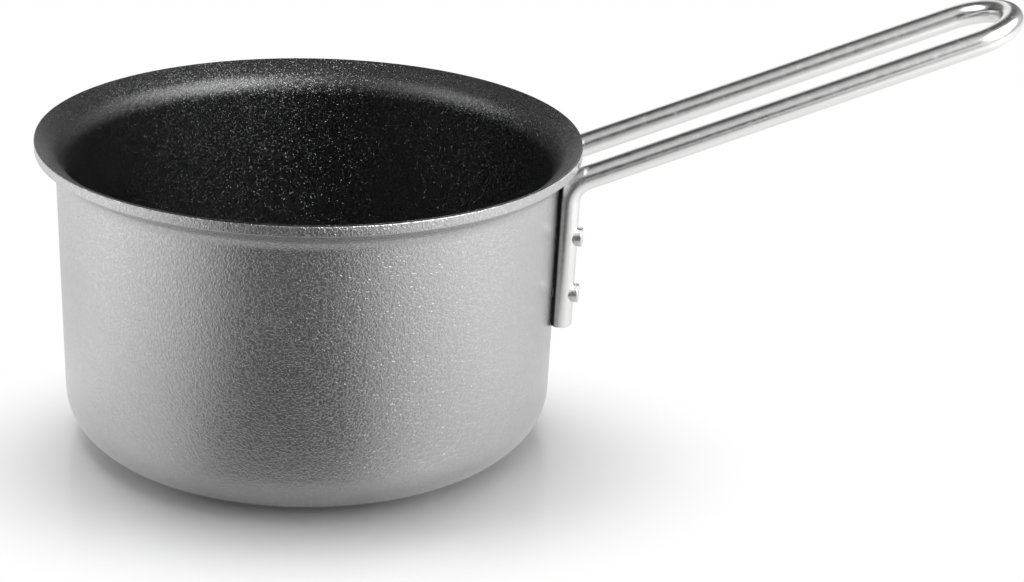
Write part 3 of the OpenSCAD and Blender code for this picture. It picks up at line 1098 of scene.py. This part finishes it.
def front_direction(turn, rise=0.0):
    """Direction from the pan to the front, turned to the right and raised by two angles"""
    return (math.sin(turn) * math.cos(rise), -math.cos(turn) * math.cos(rise), math.sin(rise))


def floor_mask(tree, place, path, stage):
    """Share of plain white in the floor: none in the shade of the pan, all beyond it"""
    squeeze = Vector((1, stage.shadow_squeeze, 1))
    squeezed = vector_maths(tree, "MULTIPLY", place, squeeze)
    offset = vector_measure(tree, "DISTANCE", squeezed, Vector(stage.shadow_centre) * squeeze)
    beyond = ranged(tree, offset, stage.shadow_inner, stage.shadow_outer, curve="SMOOTHSTEP")
    seen = maths(tree, "MAXIMUM", path["Is Camera Ray"], path["Is Transmission Ray"])
    clear = maths(tree, "MAXIMUM", seen, path["Is Glossy Ray"])
    near_share = maths(tree, "MULTIPLY", path["Is Glossy Ray"], stage.shade_glow)
    return maths(tree, "MULTIPLY", clear, maths(tree, "MAXIMUM", beyond, near_share))


def floor_glow(tree, place, path, stage):
    """Brightness of the white floor: 1 to the camera, and what the metal mirrors of it"""
    level_place = vector_maths(tree, "NORMALIZE", place)
    facing = vector_measure(tree, "DOT_PRODUCT", level_place, front_direction(stage.front_turn))
    around = grey_ramp(tree, ranged(tree, facing, start=1.0, end=-1.0), FLOOR_GLOW)
    reach = vector_measure(tree, "LENGTH", place)
    away = ranged(tree, reach, stage.glow_start, stage.glow_full,
                  stage.near_glow * stage.side_glow, stage.side_glow)
    glowing = maths(tree, "MULTIPLY", around, away)
    steep = add_node(tree, "LayerWeight", {"Blend": 0.5}).outputs["Facing"]
    level_look = ranged(tree, steep, start=0.2, end=0.45)
    below = ranged(tree, around, 0.0, 1.0, *BELOW_GLOW)
    mirrored = mixed(tree, level_look, below, glowing)
    return mixed(tree, path["Is Glossy Ray"], 1.0, mirrored)


def floor_material(stage):
    """Pale floor that keeps the shadow near the pan and is plain white beyond it"""
    material, tree, shader = new_material("pale_floor", stage.floor_colour, metallic=0.0,
                                          roughness=0.18)
    feed(shader, {"IOR": 1.3})
    place = add_node(tree, "TexCoord").outputs["Object"]
    path = add_node(tree, "LightPath").outputs
    share = floor_mask(tree, place, path, stage)
    glow = add_node(tree, "Emission", {"Strength": floor_glow(tree, place, path, stage)})
    mix = add_node(tree, "MixShader", {0: share, 1: shader.outputs[0], 2: glow.outputs[0]})
    feed(tree.nodes["Material Output"], {"Surface": mix.outputs[0]})
    return material


def make_floor(stage):
    """Plain pale floor under the pan"""
    deselect_all()
    bpy.ops.mesh.primitive_grid_add(x_subdivisions=8, y_subdivisions=8, size=stage.floor_size)
    floor = bpy.context.active_object
    floor.name = "floor"
    floor.data.materials.append(floor_material(stage))


def tent_level(tree, place, stage):
    """Brightness of the light tent, with its dark opening, its flanks and the backdrop"""
    parts = add_node(tree, "SeparateXYZ", {0: place}).outputs
    ahead = maths(tree, "MULTIPLY", parts["Y"], -1.0)
    over = maths(tree, "ARCTAN2", parts["Z"], ahead)
    turn = maths(tree, "DIVIDE", over, math.pi)
    middle = front_direction(stage.tent_turn, stage.tent_rise)
    opening = vector_measure(tree, "DOT_PRODUCT", place, middle)
    veil = ranged(tree, opening, *OPENING, 1.0, OPENING_LEVEL, curve="SMOOTHSTEP")
    veiled = maths(tree, "MULTIPLY", grey_ramp(tree, turn, TENT), veil)
    wide = maths(tree, "ABSOLUTE", parts["X"])
    side = ranged(tree, wide, *FLANK, curve="SMOOTHSTEP")
    flank = ranged(tree, parts["X"], -1.0, 1.0, *FLANK_LEVELS)
    around = mixed(tree, side, veiled, flank)
    behind = ranged(tree, turn, *BACKDROP_RISE, curve="SMOOTHSTEP")
    narrow = ranged(tree, wide, *BACKDROP_HALF, 1.0, 0.0, curve="SMOOTHSTEP")
    return maths(tree, "MAXIMUM", around, maths(tree, "MULTIPLY", behind, narrow))


def make_world(stage):
    """White studio round the camera, and a tent with soft boxes for what the metal mirrors"""
    world = bpy.data.worlds.new("studio")
    bpy.context.scene.world = world
    world.use_nodes = True
    tree = world.node_tree
    place = add_node(tree, "TexCoord").outputs["Generated"]
    lit = tent_level(tree, place, stage)
    for turn_right, rise, edge, core, level in SOFT_BOXES:
        middle = front_direction(math.radians(turn_right), math.radians(rise))
        near = vector_measure(tree, "DOT_PRODUCT", place, middle)
        glow = ranged(tree, near, math.cos(math.radians(edge)), math.cos(math.radians(core)),
                      0.0, level ** (1 / BOX_EASE))
        lit = maths(tree, "MAXIMUM", lit, maths(tree, "POWER", glow, BOX_EASE))
    path = add_node(tree, "LightPath").outputs
    glossy = mixed(tree, path["Is Glossy Ray"], 0.0, lit)
    seen = maths(tree, "MAXIMUM", path["Is Camera Ray"], path["Is Transmission Ray"])
    feed(tree.nodes["Background"], {"Color": (1, 1, 1, 1),
                                    "Strength": mixed(tree, seen, glossy, 1.0)})


# Operators

def settings():
    """All settings of the scene, by name"""
    scene = bpy.context.scene
    return (scene.saucepan_pan, scene.saucepan_handle, scene.saucepan_rivet,
            scene.saucepan_finish, scene.saucepan_stage)


class SAUCEPAN_OT_pan_body(bpy.types.Operator):
    """Turn the cast pan with its flared rim"""
    bl_idname = "saucepan.pan_body"
    bl_label = "Pan body"

    def execute(self, context):
        pan, _, _, finish, _ = settings()
        body = make_pan_body(pan)
        smooth(body)
        dressed(body, "pan_body_skin", "pan_body", cast_material(finish, pan))
        return {"FINISHED"}


class SAUCEPAN_OT_lining(bpy.types.Operator):
    """Turn the non-stick lining"""
    bl_idname = "saucepan.lining"
    bl_label = "Non-stick lining"

    def execute(self, context):
        pan, _, _, finish, _ = settings()
        lining = make_lining(pan)
        smooth(lining)
        dressed(lining, "nonstick_lining_skin", "nonstick_lining", lining_material(finish))
        return {"FINISHED"}


class SAUCEPAN_OT_induction_disc(bpy.types.Operator):
    """Turn and drill the steel disc in the base"""
    bl_idname = "saucepan.induction_disc"
    bl_label = "Induction disc"

    def execute(self, context):
        pan, _, _, finish, _ = settings()
        disc = make_disc(pan)
        smooth(disc)
        dressed(disc, "induction_disc_skin", "induction_disc", disc_material(finish))
        return {"FINISHED"}


class SAUCEPAN_OT_handle(bpy.types.Operator):
    """Bend the handle from one round rod"""
    bl_idname = "saucepan.handle"
    bl_label = "Handle"

    def execute(self, context):
        pan, handle, rivet, finish, _ = settings()
        shape = HandleShape(pan, handle, rivet)
        rod = make_rod(shape)
        straighten(rod, shape)
        # Paints shade into the slots and under the rim, as a stored share per point
        store_painted_shade(rod, shape, pan, finish)
        smooth(rod)
        dressed(rod, "handle_rod_skin", "handle_rod", rod_material(finish))
        return {"FINISHED"}


class SAUCEPAN_OT_rivets(bpy.types.Operator):
    """Form one rivet and set a copy in each of its four places"""
    bl_idname = "saucepan.rivets"
    bl_label = "Rivets"

    def execute(self, context):
        pan, handle, rivet, finish, _ = settings()
        shape = HandleShape(pan, handle, rivet)
        model = make_rivet(shape, rivet)
        smooth(model, rivet.crease)
        material = rivet_material(finish)
        for side, side_name in ((-1, "near"), (1, "far")):
            for z, level in ((shape.upper_z, "upper"), (shape.lower_z, "lower")):
                node = f"rivet_{side_name}_{level}"
                copy = bpy.data.objects.new(node + "_skin", model.data.copy())
                bpy.context.scene.collection.objects.link(copy)
                copy.matrix_world = shape.on_leg(side, z)
                apply_place(copy)
                dressed(copy, node + "_skin", node, material)
        bpy.data.objects.remove(model)
        return {"FINISHED"}


class SAUCEPAN_OT_stage(bpy.types.Operator):
    """Set the camera, the pale floor and the soft studio light"""
    bl_idname = "saucepan.stage"
    bl_label = "Stage"

    def execute(self, context):
        _, _, _, _, stage = settings()
        make_camera(stage)
        make_floor(stage)
        make_world(stage)
        for lamp in LAMPS:
            add_lamp(*lamp)
        bpy.context.scene.view_settings.view_transform = "Standard"
        return {"FINISHED"}


class SAUCEPAN_PT_tools(bpy.types.Panel):
    """Lists the steps that build the saucepan"""
    bl_idname = "SAUCEPAN_PT_tools"
    bl_label = "Saucepan"
    bl_space_type = "VIEW_3D"
    bl_region_type = "UI"
    bl_category = "Saucepan"

    def draw(self, context):
        for step in STEPS:
            self.layout.operator(step.bl_idname)


STEPS = (SAUCEPAN_OT_pan_body, SAUCEPAN_OT_lining, SAUCEPAN_OT_induction_disc,
         SAUCEPAN_OT_handle, SAUCEPAN_OT_rivets, SAUCEPAN_OT_stage)
GROUPS = {"saucepan_pan": PanSettings, "saucepan_handle": HandleSettings,
          "saucepan_rivet": RivetSettings, "saucepan_finish": FinishSettings,
          "saucepan_stage": StageSettings}


def register():
    """Registers the classes and hangs the settings on the scene"""
    for group in GROUPS.values():
        bpy.utils.register_class(group)
    for step in STEPS:
        bpy.utils.register_class(step)
    bpy.utils.register_class(SAUCEPAN_PT_tools)
    for name, group in GROUPS.items():
        setattr(bpy.types.Scene, name, PointerProperty(type=group))


def unregister():
    """Takes the settings and the classes away again"""
    for name in GROUPS:
        delattr(bpy.types.Scene, name)
    bpy.utils.unregister_class(SAUCEPAN_PT_tools)
    for step in reversed(STEPS):
        bpy.utils.unregister_class(step)
    for group in GROUPS.values():
        bpy.utils.unregister_class(group)


def main():
    """Builds every piece and the stage"""
    register()
    bpy.ops.saucepan.pan_body()
    bpy.ops.saucepan.lining()
    bpy.ops.saucepan.induction_disc()
    bpy.ops.saucepan.handle()
    bpy.ops.saucepan.rivets()
    bpy.ops.saucepan.stage()


if __name__ == "__main__":
    main()
